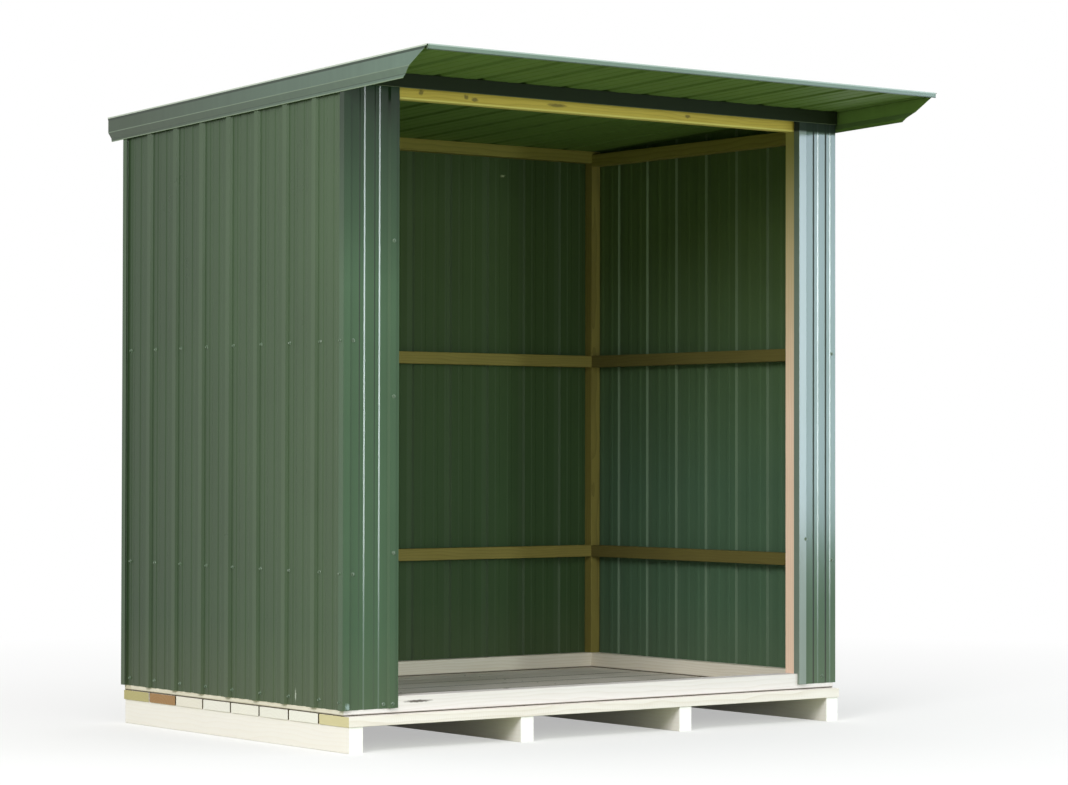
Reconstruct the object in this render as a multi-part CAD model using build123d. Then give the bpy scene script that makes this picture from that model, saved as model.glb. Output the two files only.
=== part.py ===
from build123d import *
import math
import os

os.makedirs("parts", exist_ok=True)

# Open-fronted log store: a timber frame on four bearers, clad in ribbed sheet steel.
# All sizes are in millimetres. X runs across the front, Y to the rear, Z up from the ground.
# The origin is on the ground under the middle of the roof.

# The walls over the crests of their sheets, and how far the roof passes them
WALL_WIDTH = 2280
WALL_DEPTH = 1510
FRONT_OVERHANG = 522
REAR_OVERHANG = 80
SIDE_OVERHANG = 10
# Underside of the roof sheets at the front wall, over the floor, and their fall to the rear wall
FRAME_HEIGHT = 2217
ROOF_FALL = 49

# Ribbed sheet: main ribs, with two shallow grooves in the pan between each pair. The grooves
# lie on the timber and the pans stand off it by their depth.
STEEL = 0.6
RIB_PITCH = 187.5
RIB_HEIGHT = 10
RIB_BASE = 36
RIB_CREST = 24
GROOVE_DEPTH = 1.5
GROOVE_WIDTH = 25
GROOVE_BOTTOM = 15
SHEET_RIBS = 4
LAP_GAP = 0.3
# An underlapping sheet ends just past the middle of its edge rib's crest
UNDERLAP_PAST_CREST = 3
OVERLAP_FOOT = 2.5
# How far the sheets' lower edges stand over the floor
SHEET_RISE = 20
# Widths of crest left at a corner: rear sheets and left panel, side sheets
CORNER_CREST = 27.3
SIDE_CORNER_CREST = 17
ROOF_EDGE_RIB = 25
CORNER_LEG = 27

# Front panels: their widths from the wall's outer face to the opening, and their ribs
LEFT_PANEL = 235
RIGHT_PANEL = 192
LEFT_RIB_IN = 18.5
RIGHT_RIB_OUT = 25
RIGHT_LIP_CREST = 39
RETURN_LIP = 20

# Timber sections and heights; the rails' centres are over the floor
POST = 45
FRONT_DEPTH = 70
PLATE_HEIGHT = 60
RAIL_HEIGHT = 48
MID_RAIL = 1284
LOW_RAIL = 488
SIDE_PLATE_HEIGHT = 50
SIDE_PLATE_DROP = 12.5
REAR_PLATE_HEIGHT = 47
HEADER_DROP = 85
ARRIS = 1.5
PLATE_ARRIS = 8

# Floor
BEARER_WIDTH = 57
BEARER_HEIGHT = 90
BEARER_COUNT = 4
BEARER_SIDE_INSET = 3.5
BEARER_END_INSET = 5
BOARD_WIDTH = 184
BOARD_THICKNESS = 35
BOARD_GAP = 8
FLOOR_SIDE_SHORT = 10
FLOOR_FRONT_PROUD = 24
FLOOR_REAR_SHORT = 5.5

# Folded trims
SEAT = 0.2
HEM_GAP = 0.3
HEADER_SHOWS = 34.5
FASCIA_FLANGE = 55
FASCIA_HEM = 7
BARGE_OUT = 10
BARGE_TOP_PROUD = 3
BARGE_TOP_STRIP = 12
BARGE_CREASE = 57
BARGE_HEIGHT = 90
BARGE_HEM = 12
BARGE_HEM_LEAN = 1.5
BARGE_FOOT = 4
BARGE_WALL_GAP = 1
BARGE_LIP = 55
SLANT_LENGTH = 138
SLANT_NOSE = 17
SLANT_TOE = 27
EDGE_FACE = 19.5
EDGE_FLANGE = 42
EDGE_SIDE_GAP = 5

# Planes and places that the sizes above give
SHEET_OUT = RIB_HEIGHT + STEEL
WEB_RUN = (RIB_BASE - RIB_CREST) / 2
WEB_ANGLE = math.atan2(RIB_HEIGHT - GROOVE_DEPTH, WEB_RUN)
SHEET_COVER = SHEET_RIBS * RIB_PITCH
TIMBER_X = WALL_WIDTH / 2 - SHEET_OUT
STUD_X = TIMBER_X - POST
ROOF_HALF = WALL_WIDTH / 2 + SIDE_OVERHANG
ROOF_DEPTH = FRONT_OVERHANG + WALL_DEPTH + REAR_OVERHANG
ROOF_FRONT = -ROOF_DEPTH / 2
ROOF_REAR = ROOF_DEPTH / 2
WALL_FRONT = ROOF_FRONT + FRONT_OVERHANG
WALL_REAR = WALL_FRONT + WALL_DEPTH
WALL_CENTRE = (WALL_FRONT + WALL_REAR) / 2
TIMBER_FRONT = WALL_FRONT + SHEET_OUT
TIMBER_REAR = WALL_REAR - SHEET_OUT
FLOOR_TOP = BEARER_HEIGHT + BOARD_THICKNESS
PLATES_TOP = FLOOR_TOP + PLATE_HEIGHT
SHEET_BOTTOM = FLOOR_TOP + SHEET_RISE
ROOF_UNDER_FRONT = FLOOR_TOP + FRAME_HEIGHT
ABOVE_ROOF = ROOF_UNDER_FRONT + 100
SLOPE = ROOF_FALL / WALL_DEPTH
# What carries the roof stops below it by two seats and the fascia's flange
UNDER_FLANGE = STEEL + 2 * SEAT
HEADER_BOTTOM = ROOF_UNDER_FRONT - HEADER_DROP


def roof_under(y):
    return ROOF_UNDER_FRONT - SLOPE * (y - WALL_FRONT)


def box(x0, x1, y0, y1, z0, z1):
    return Pos((x0 + x1) / 2, (y0 + y1) / 2, (z0 + z1) / 2) * Box(x1 - x0, y1 - y0, z1 - z0)


def timber(x0, x1, y0, y1, z0, z1, along):
    """A length of planed timber with its long edges eased."""
    piece = box(x0, x1, y0, y1, z0, z1)
    return chamfer(piece.edges().filter_by(along), ARRIS)


def below_roof(piece, drop):
    """The piece cut off on a plane this far below the roof sheets' underside."""
    plane = Plane(
        origin=(0, WALL_FRONT, ROOF_UNDER_FRONT - drop),
        x_dir=(1, 0, 0),
        z_dir=(0, SLOPE, 1),
    )
    return split(piece, bisect_by=plane, keep=Keep.BOTTOM)


def thickened(line, thickness):
    """The closed outline of a folded strip: a broken line and its mitred offset to the left."""
    normals = []
    for (x0, y0), (x1, y1) in zip(line, line[1:]):
        length = math.hypot(x1 - x0, y1 - y0)
        normals.append((-(y1 - y0) / length, (x1 - x0) / length))
    outer = []
    for i, (x, y) in enumerate(line):
        a = normals[max(i - 1, 0)]
        b = normals[min(i, len(normals) - 1)]
        scale = thickness / (1 + a[0] * b[0] + a[1] * b[1])
        outer.append((x + (a[0] + b[0]) * scale, y + (a[1] + b[1]) * scale))
    return line + outer[::-1]


def prism(points, direction):
    """The solid swept in a straight line by a closed flat outline."""
    return Solid.extrude(make_face(Polyline(points, close=True)).face(), Vector(direction))


def upright(line, to_world):
    """A sheet standing on its inner line, cut off under the roof."""
    points = [(*to_world(u, v), SHEET_BOTTOM) for u, v in thickened(line, STEEL)]
    return below_roof(prism(points, (0, 0, ABOVE_ROOF - SHEET_BOTTOM)), UNDER_FLANGE)


def along_roof(line, y0, y1):
    """A strip that runs down the roof's slope; its heights are over the sheets' underside."""
    points = [(x, y0, roof_under(y0) + h) for x, h in thickened(line, STEEL)]
    return prism(points, (0, y1 - y0, roof_under(y1) - roof_under(y0)))


# The lines below run along a sheet's inner face, with v pointing outwards from the timber


def trapezium(centre, foot, top, height):
    """A rise or fall from the pan to this height and back."""
    return [
        (centre - foot / 2, GROOVE_DEPTH),
        (centre - top / 2, height),
        (centre + top / 2, height),
        (centre + foot / 2, GROOVE_DEPTH),
    ]


def main_rib(centre):
    return trapezium(centre, RIB_BASE, RIB_CREST, RIB_HEIGHT)


def groove(centre):
    return trapezium(centre, GROOVE_WIDTH, GROOVE_BOTTOM, 0)


def lapping_rib(centre):
    """The edge rib of the upper sheet, which clears the lower sheet's rib all round."""
    lift = STEEL + LAP_GAP
    half = RIB_BASE / 2 + lift / math.sin(WEB_ANGLE)
    crest = RIB_CREST / 2 + lift * math.tan(WEB_ANGLE / 2)
    foot = half - lift / math.tan(WEB_ANGLE)
    return [
        (centre - half, GROOVE_DEPTH),
        (centre - crest, RIB_HEIGHT + lift),
        (centre + crest, RIB_HEIGHT + lift),
        (centre + foot, GROOVE_DEPTH + lift),
        (centre + foot + OVERLAP_FOOT, GROOVE_DEPTH + lift),
    ]


def under_rib(centre):
    """The edge rib of the lower sheet, cut off on its crest."""
    return [
        (centre - UNDERLAP_PAST_CREST, RIB_HEIGHT),
        (centre + RIB_CREST / 2, RIB_HEIGHT),
        (centre + RIB_BASE / 2, GROOVE_DEPTH),
    ]


def ribs_between(low, high, middle):
    """Each rib and groove that fits whole between two places, with a rib at the middle."""
    points = []
    first = math.floor((low - middle) / RIB_PITCH)
    last = math.ceil((high - middle) / RIB_PITCH)
    for i in range(first, last + 1):
        centre = middle + i * RIB_PITCH
        bay = (
            (main_rib, centre),
            (groove, centre + RIB_PITCH / 3),
            (groove, centre + 2 * RIB_PITCH / 3),
        )
        for shape, place in bay:
            rib = shape(place)
            if rib[0][0] > low + SEAT and rib[-1][0] < high - SEAT:
                points += rib
    return points


def one_sheet(start, end, middle):
    """A sheet's line, from its start's points to its end's."""
    return start + ribs_between(start[-1][0], end[0][0], middle) + end


def lapped_sheets(start, end, middle, lap):
    """The lines of a run of sheets that lap on the rib at this place and every cover from it."""
    low, high = start[-1][0] + RIB_BASE, end[0][0] - RIB_BASE
    first = math.ceil((low - lap) / SHEET_COVER)
    last = math.floor((high - lap) / SHEET_COVER)
    laps = [lap + i * SHEET_COVER for i in range(first, last + 1)]
    starts = [start] + [under_rib(c) for c in laps]
    ends = [lapping_rib(c) for c in laps] + [end]
    return [one_sheet(a, b, middle) for a, b in zip(starts, ends)]


# Bearers on the ground, front to rear under the floor
floor_front = WALL_FRONT - FLOOR_FRONT_PROUD
floor_rear = WALL_REAR - FLOOR_REAR_SHORT
floor_half = WALL_WIDTH / 2 - FLOOR_SIDE_SHORT
bearer_x = floor_half - BEARER_SIDE_INSET - BEARER_WIDTH / 2
for i in range(BEARER_COUNT):
    x = bearer_x * (2 * i / (BEARER_COUNT - 1) - 1)
    bearer = timber(
        x - BEARER_WIDTH / 2,
        x + BEARER_WIDTH / 2,
        floor_front + BEARER_END_INSET,
        floor_rear - BEARER_END_INSET,
        0,
        BEARER_HEIGHT,
        Axis.Y,
    )
    export_step(bearer, f"parts/bearer_{i + 1}.step")

# Floor boards across the bearers with open gaps, numbered from the front
floor_depth = floor_rear - floor_front
board_count = int((floor_depth + BOARD_GAP) // (BOARD_WIDTH + BOARD_GAP))
board_pitch = (floor_depth - BOARD_WIDTH) / (board_count - 1)
for i in range(board_count):
    y = floor_front + i * board_pitch
    board = timber(
        -floor_half, floor_half, y, y + BOARD_WIDTH, BEARER_HEIGHT, FLOOR_TOP, Axis.X
    )
    export_step(board, f"parts/floor_board_{i + 1}.step")


# Bottom plates on the floor, with their lower outer edges rounded; the front one is deeper
def bottom_plate(x0, x1, y0, y1, along, across, outer):
    plate = box(x0, x1, y0, y1, FLOOR_TOP, PLATES_TOP)
    outer_edges = plate.edges().filter_by(along).group_by(across)[outer]
    return fillet(outer_edges.sort_by(Axis.Z)[0], PLATE_ARRIS)


front_plate_rear = TIMBER_FRONT + FRONT_DEPTH
rear_plate_front = TIMBER_REAR - POST
front_plate = bottom_plate(
    -TIMBER_X, TIMBER_X, TIMBER_FRONT, front_plate_rear, Axis.X, Axis.Y, 0
)
export_step(front_plate, "parts/bottom_plate_front.step")
rear_plate = bottom_plate(
    -TIMBER_X, TIMBER_X, rear_plate_front, TIMBER_REAR, Axis.X, Axis.Y, -1
)
export_step(rear_plate, "parts/bottom_plate_rear.step")
right_plate = bottom_plate(
    STUD_X, TIMBER_X, front_plate_rear, rear_plate_front, Axis.Y, Axis.X, -1
)
export_step(right_plate, "parts/bottom_plate_right.step")
export_step(mirror(right_plate, about=Plane.YZ), "parts/bottom_plate_left.step")

# Corner posts: the rear pair under the rear top plate, the front pair up to the roof
rear_plate_bottom = roof_under(TIMBER_REAR) - REAR_PLATE_HEIGHT
post_rear = timber(
    STUD_X, TIMBER_X, rear_plate_front, TIMBER_REAR, PLATES_TOP, rear_plate_bottom, Axis.Z
)
export_step(post_rear, "parts/post_rear_right.step")
export_step(mirror(post_rear, about=Plane.YZ), "parts/post_rear_left.step")
front_post_rear = TIMBER_FRONT + POST
post_front = timber(
    STUD_X, TIMBER_X, TIMBER_FRONT, front_post_rear, PLATES_TOP, ABOVE_ROOF, Axis.Z
)
post_front = below_roof(post_front, UNDER_FLANGE)
export_step(post_front, "parts/post_front_right.step")
export_step(mirror(post_front, about=Plane.YZ), "parts/post_front_left.step")

# Jambs at the sides of the opening, and the header on them between the front posts
left_jamb_inner = -WALL_WIDTH / 2 + LEFT_PANEL
right_jamb_inner = WALL_WIDTH / 2 - RIGHT_PANEL
jamb_left = timber(
    left_jamb_inner - POST,
    left_jamb_inner,
    TIMBER_FRONT,
    front_plate_rear,
    PLATES_TOP,
    HEADER_BOTTOM,
    Axis.Z,
)
export_step(jamb_left, "parts/jamb_left.step")
jamb_right = timber(
    right_jamb_inner,
    right_jamb_inner + POST,
    TIMBER_FRONT,
    front_plate_rear,
    PLATES_TOP,
    HEADER_BOTTOM,
    Axis.Z,
)
export_step(jamb_right, "parts/jamb_right.step")
header_front = front_plate_rear - POST
header = box(-STUD_X, STUD_X, header_front, front_plate_rear, HEADER_BOTTOM, ABOVE_ROOF)
header = chamfer(header.edges().filter_by(Axis.X).group_by(Axis.Z)[0], ARRIS)
header = below_roof(header, UNDER_FLANGE)
export_step(header, "parts/front_header.step")

# Side and rear rails between the posts, at two heights
for level, centre in (("lower", FLOOR_TOP + LOW_RAIL), ("mid", FLOOR_TOP + MID_RAIL)):
    low, high = centre - RAIL_HEIGHT / 2, centre + RAIL_HEIGHT / 2
    side_rail = timber(
        STUD_X, TIMBER_X, front_post_rear, rear_plate_front, low, high, Axis.Y
    )
    export_step(side_rail, f"parts/rail_right_{level}.step")
    export_step(mirror(side_rail, about=Plane.YZ), f"parts/rail_left_{level}.step")
    rear_rail = timber(-STUD_X, STUD_X, rear_plate_front, TIMBER_REAR, low, high, Axis.X)
    export_step(rear_rail, f"parts/rail_rear_{level}.step")

# Top plates: the side ones are level, the rear one is planed to the roof's slope
side_plate_top = roof_under(rear_plate_front) - SIDE_PLATE_DROP
side_top = timber(
    STUD_X,
    TIMBER_X,
    front_post_rear,
    rear_plate_front,
    side_plate_top - SIDE_PLATE_HEIGHT,
    side_plate_top,
    Axis.Y,
)
export_step(side_top, "parts/top_plate_right.step")
export_step(mirror(side_top, about=Plane.YZ), "parts/top_plate_left.step")
rear_top = box(
    -TIMBER_X, TIMBER_X, rear_plate_front, TIMBER_REAR, rear_plate_bottom, ABOVE_ROOF
)
export_step(below_roof(rear_top, SEAT), "parts/top_plate_rear.step")

# Side wall sheets: lapped on the rib at mid depth, each end on the crest of a corner rib
side_start = [
    (TIMBER_FRONT, RIB_HEIGHT),
    (WALL_FRONT + SIDE_CORNER_CREST, RIB_HEIGHT),
    (WALL_FRONT + SIDE_CORNER_CREST + WEB_RUN, GROOVE_DEPTH),
]
side_end = [
    (WALL_REAR - SIDE_CORNER_CREST - WEB_RUN, GROOVE_DEPTH),
    (WALL_REAR - SIDE_CORNER_CREST, RIB_HEIGHT),
    (TIMBER_REAR, RIB_HEIGHT),
]
side_lines = lapped_sheets(side_start, side_end, WALL_CENTRE, WALL_CENTRE)
left_sheets = [upright(line, lambda u, v: (-TIMBER_X - v, u)) for line in side_lines]
right_sheets = [upright(line, lambda u, v: (TIMBER_X + v, u)) for line in side_lines]
export_step(Compound(children=left_sheets), "parts/left_wall_sheets.step")
export_step(Compound(children=right_sheets), "parts/right_wall_sheets.step")

# Rear wall sheets: at each corner a rib's crest folds back into a leg over the side sheet
leg_inner = WALL_WIDTH / 2 + LAP_GAP
leg_end = RIB_HEIGHT - CORNER_LEG
left_corner = [
    (-leg_inner, leg_end),
    (-leg_inner, RIB_HEIGHT),
    (-leg_inner + CORNER_CREST, RIB_HEIGHT),
    (-leg_inner + CORNER_CREST + WEB_RUN, GROOVE_DEPTH),
]
right_corner = [(-u, v) for u, v in left_corner[::-1]]
rear_lines = lapped_sheets(left_corner, right_corner, 0, SHEET_COVER / 2)
rear_sheets = [upright(line, lambda u, v: (u, TIMBER_REAR + v)) for line in rear_lines]
export_step(Compound(children=rear_sheets), "parts/rear_wall_sheets.step")

# Front panels: narrow pieces of the same sheet with the same corner leg, and a lip folded
# back on the jamb, which is notched round the header and the bottom plate
header_notch = box(
    -STUD_X,
    STUD_X,
    header_front - SEAT,
    front_plate_rear,
    HEADER_BOTTOM - SEAT,
    ABOVE_ROOF,
)
plate_notch = box(
    -STUD_X, STUD_X, TIMBER_FRONT, front_plate_rear, FLOOR_TOP, PLATES_TOP + SEAT
)
left_lip = left_jamb_inner + SEAT
left_line = one_sheet(
    left_corner,
    [(left_lip, GROOVE_DEPTH), (left_lip, -RETURN_LIP)],
    -WALL_WIDTH / 2 + LEFT_RIB_IN,
)
left_panel = upright(left_line, lambda u, v: (u, TIMBER_FRONT - v)) - header_notch - plate_notch
export_step(left_panel, "parts/front_panel_left.step")

# The right panel is cut from the sheet further along: its lip folds on a rib's crest, and its
# pan runs to the corner
right_lip = right_jamb_inner - SEAT
right_line = one_sheet(
    [
        (right_lip, -RETURN_LIP),
        (right_lip, RIB_HEIGHT),
        (right_lip + RIGHT_LIP_CREST, RIB_HEIGHT),
        (right_lip + RIGHT_LIP_CREST + WEB_RUN, GROOVE_DEPTH),
    ],
    [(leg_inner, GROOVE_DEPTH), (leg_inner, leg_end)],
    WALL_WIDTH / 2 + RIGHT_RIB_OUT,
)
right_panel = upright(right_line, lambda u, v: (u, TIMBER_FRONT - v)) - header_notch - plate_notch
export_step(right_panel, "parts/front_panel_right.step")

# Roof sheets, from the front edge down to the rear edge, with a rib near each side
left_edge = [(-ROOF_HALF, GROOVE_DEPTH)] + main_rib(-ROOF_HALF + ROOF_EDGE_RIB)
right_edge = main_rib(ROOF_HALF - ROOF_EDGE_RIB) + [(ROOF_HALF, GROOVE_DEPTH)]
roof_lines = lapped_sheets(left_edge, right_edge, 0, SHEET_COVER / 2)
roof_sheets = [along_roof(line, ROOF_FRONT, ROOF_REAR) for line in roof_lines]
export_step(Compound(children=roof_sheets), "parts/roof_sheets.step")

# Fascia over the panels' tops: a hemmed face, and a flange back over the header under the roof
fascia_half = leg_inner + STEEL
fascia_inner = WALL_FRONT - LAP_GAP
fascia_bottom = HEADER_BOTTOM + HEADER_SHOWS
hem_out = fascia_inner - 2 * STEEL - HEM_GAP
flange_rear = fascia_inner + FASCIA_FLANGE
fascia_line = [
    (hem_out, fascia_bottom + FASCIA_HEM),
    (hem_out, fascia_bottom),
    (fascia_inner, fascia_bottom),
    (fascia_inner, roof_under(fascia_inner) - SEAT - STEEL),
    (flange_rear, roof_under(flange_rear) - SEAT - STEEL),
]
fascia_outline = [(-fascia_half, y, z) for y, z in thickened(fascia_line, STEEL)]
export_step(prism(fascia_outline, (2 * fascia_half, 0, 0)), "parts/fascia.step")

# Barges down both roof edges: a lip on the edge rib, a face creased in towards the wall and
# a hemmed foot, cut back on a slant at the front
rest = RIB_HEIGHT + STEEL + SEAT
barge_outer = ROOF_HALF + BARGE_OUT
barge_foot = fascia_half + BARGE_FOOT
lip_inner = barge_outer + BARGE_TOP_PROUD - BARGE_LIP
barge_line = [
    (lip_inner, rest),
    (barge_outer + BARGE_TOP_PROUD, rest),
    (barge_outer, rest - BARGE_TOP_STRIP),
    (barge_outer, rest - BARGE_CREASE),
    (barge_foot + BARGE_HEM_LEAN, rest - BARGE_HEIGHT + BARGE_HEM),
    (barge_foot, rest - BARGE_HEIGHT),
    (fascia_half + BARGE_WALL_GAP, rest - BARGE_HEIGHT),
]
barge = along_roof(barge_line, ROOF_FRONT, ROOF_REAR)
nose_y = ROOF_FRONT + SLANT_LENGTH
toe_y = nose_y + SLANT_TOE
slant = [
    (ROOF_FRONT - BARGE_LIP, roof_under(ROOF_FRONT) + RIB_HEIGHT),
    (ROOF_FRONT, roof_under(ROOF_FRONT) + RIB_HEIGHT),
    (nose_y, roof_under(nose_y) + rest - BARGE_HEIGHT + SLANT_NOSE),
    (toe_y, roof_under(toe_y) + rest - BARGE_HEIGHT - STEEL),
    (toe_y, roof_under(toe_y) - 2 * BARGE_HEIGHT),
    (ROOF_FRONT - BARGE_LIP, roof_under(ROOF_FRONT) - 2 * BARGE_HEIGHT),
]
barge = barge - prism([(STUD_X, y, z) for y, z in slant], (2 * POST + BARGE_LIP, 0, 0))
export_step(barge, "parts/barge_right.step")
export_step(mirror(barge, about=Plane.YZ), "parts/barge_left.step")


# Edge flashings over the ends of the roof sheets: a face, and a flange on the lapped ribs
# between the barges' lips
def edge_flashing(y_edge, outward):
    """The folded angle at the front or rear edge; outward is -1 or 1 along Y."""
    face_y = y_edge + outward * SEAT
    flange_rest = rest + STEEL + LAP_GAP
    top = roof_under(face_y) + flange_rest
    half = barge_outer - EDGE_SIDE_GAP
    face_back = face_y + outward * STEEL
    face_strip = box(
        -half,
        half,
        min(face_y, face_back),
        max(face_y, face_back),
        top + STEEL - EDGE_FACE,
        top + STEEL,
    )
    inner_y = face_y - outward * EDGE_FLANGE
    flange = [
        (face_y, top),
        (inner_y, roof_under(inner_y) + flange_rest),
        (inner_y, roof_under(inner_y) + flange_rest + STEEL),
        (face_y, top + STEEL),
    ]
    flange_half = lip_inner - HEM_GAP
    return face_strip + prism(
        [(-flange_half, y, z) for y, z in flange], (2 * flange_half, 0, 0)
    )


export_step(edge_flashing(ROOF_FRONT, -1), "parts/roof_front_flashing.step")
export_step(edge_flashing(ROOF_REAR, 1), "parts/roof_rear_flashing.step")
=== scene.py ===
import math

import bmesh
import bpy
from mathutils import Matrix, Vector


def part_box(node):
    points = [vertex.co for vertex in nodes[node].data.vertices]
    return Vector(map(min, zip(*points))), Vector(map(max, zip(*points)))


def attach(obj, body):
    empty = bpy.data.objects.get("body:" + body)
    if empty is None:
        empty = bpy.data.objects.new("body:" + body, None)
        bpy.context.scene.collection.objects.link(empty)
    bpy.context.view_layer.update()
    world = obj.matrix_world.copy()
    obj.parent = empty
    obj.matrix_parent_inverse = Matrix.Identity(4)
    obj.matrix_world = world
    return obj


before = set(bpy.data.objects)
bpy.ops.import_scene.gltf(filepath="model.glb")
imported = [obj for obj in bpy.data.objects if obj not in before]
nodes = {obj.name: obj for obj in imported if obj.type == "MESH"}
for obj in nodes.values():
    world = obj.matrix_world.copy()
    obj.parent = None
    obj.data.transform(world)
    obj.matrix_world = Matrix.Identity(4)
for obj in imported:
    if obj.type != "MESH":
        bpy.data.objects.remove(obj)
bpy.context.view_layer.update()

# Bearers
# Four lengths of rough-sawn pine laid front to rear on the ground, which carry the floor.
# Sun and rain have weathered them pale, and they are painted almost white for the bright sun on
# them; the saw's teeth left marks across the grain.


def linear(code):
    """A hex sRGB colour as the linear colour that a shader takes."""
    parts = [int(code[i : i + 2], 16) / 255 for i in (1, 3, 5)]
    curve = [p / 12.92 if p <= 0.04045 else ((p + 0.055) / 1.055) ** 2.4 for p in parts]
    return (*curve, 1.0)


def add_node(tree, kind, links=(), **settings):
    """A node with its settings; links maps an input to the output or the constant that it takes."""
    node = tree.nodes.new(kind)
    for key, value in settings.items():
        setattr(node, key, value)
    for key, value in dict(links).items():
        if isinstance(value, bpy.types.NodeSocket):
            tree.links.new(value, node.inputs[key])
        else:
            node.inputs[key].default_value = value
    return node


def new_finish(name):
    """A new material with its node tree, its shader and the place on the piece."""
    material = bpy.data.materials.new(name)
    material.use_nodes = True
    tree = material.node_tree
    place = add_node(tree, "ShaderNodeTexCoord").outputs["Object"]
    return material, tree, tree.nodes["Principled BSDF"], place


def looks_along(tree, facing, axis, least):
    """1 where the surface looks along the axis, either way, by at least this cosine."""
    along = add_node(
        tree, "ShaderNodeVectorMath", {0: facing, 1: axis}, operation="DOT_PRODUCT"
    ).outputs[1]
    size = add_node(tree, "ShaderNodeMath", {0: along}, operation="ABSOLUTE").outputs[0]
    return add_node(
        tree, "ShaderNodeMath", {0: size, 1: least}, operation="GREATER_THAN"
    ).outputs[0]


def from_spot(tree, place, centre, half):
    """Distance from the centre of an oval spot, counted in its own half sizes."""
    off = add_node(
        tree, "ShaderNodeVectorMath", {0: place, 1: centre}, operation="SUBTRACT"
    ).outputs[0]
    scaled = add_node(
        tree, "ShaderNodeVectorMath", {0: off, 1: half}, operation="DIVIDE"
    ).outputs[0]
    return add_node(tree, "ShaderNodeVectorMath", {0: scaled}, operation="LENGTH").outputs[1]


BEARER_COUNT = 4
# Growth rings' spacing, how far a knot pushes them aside and how far the stem wanders, in metres
RING_STEP = 0.011
KNOT_PUSH = 0.012
STEM_WANDER = 0.045


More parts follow.
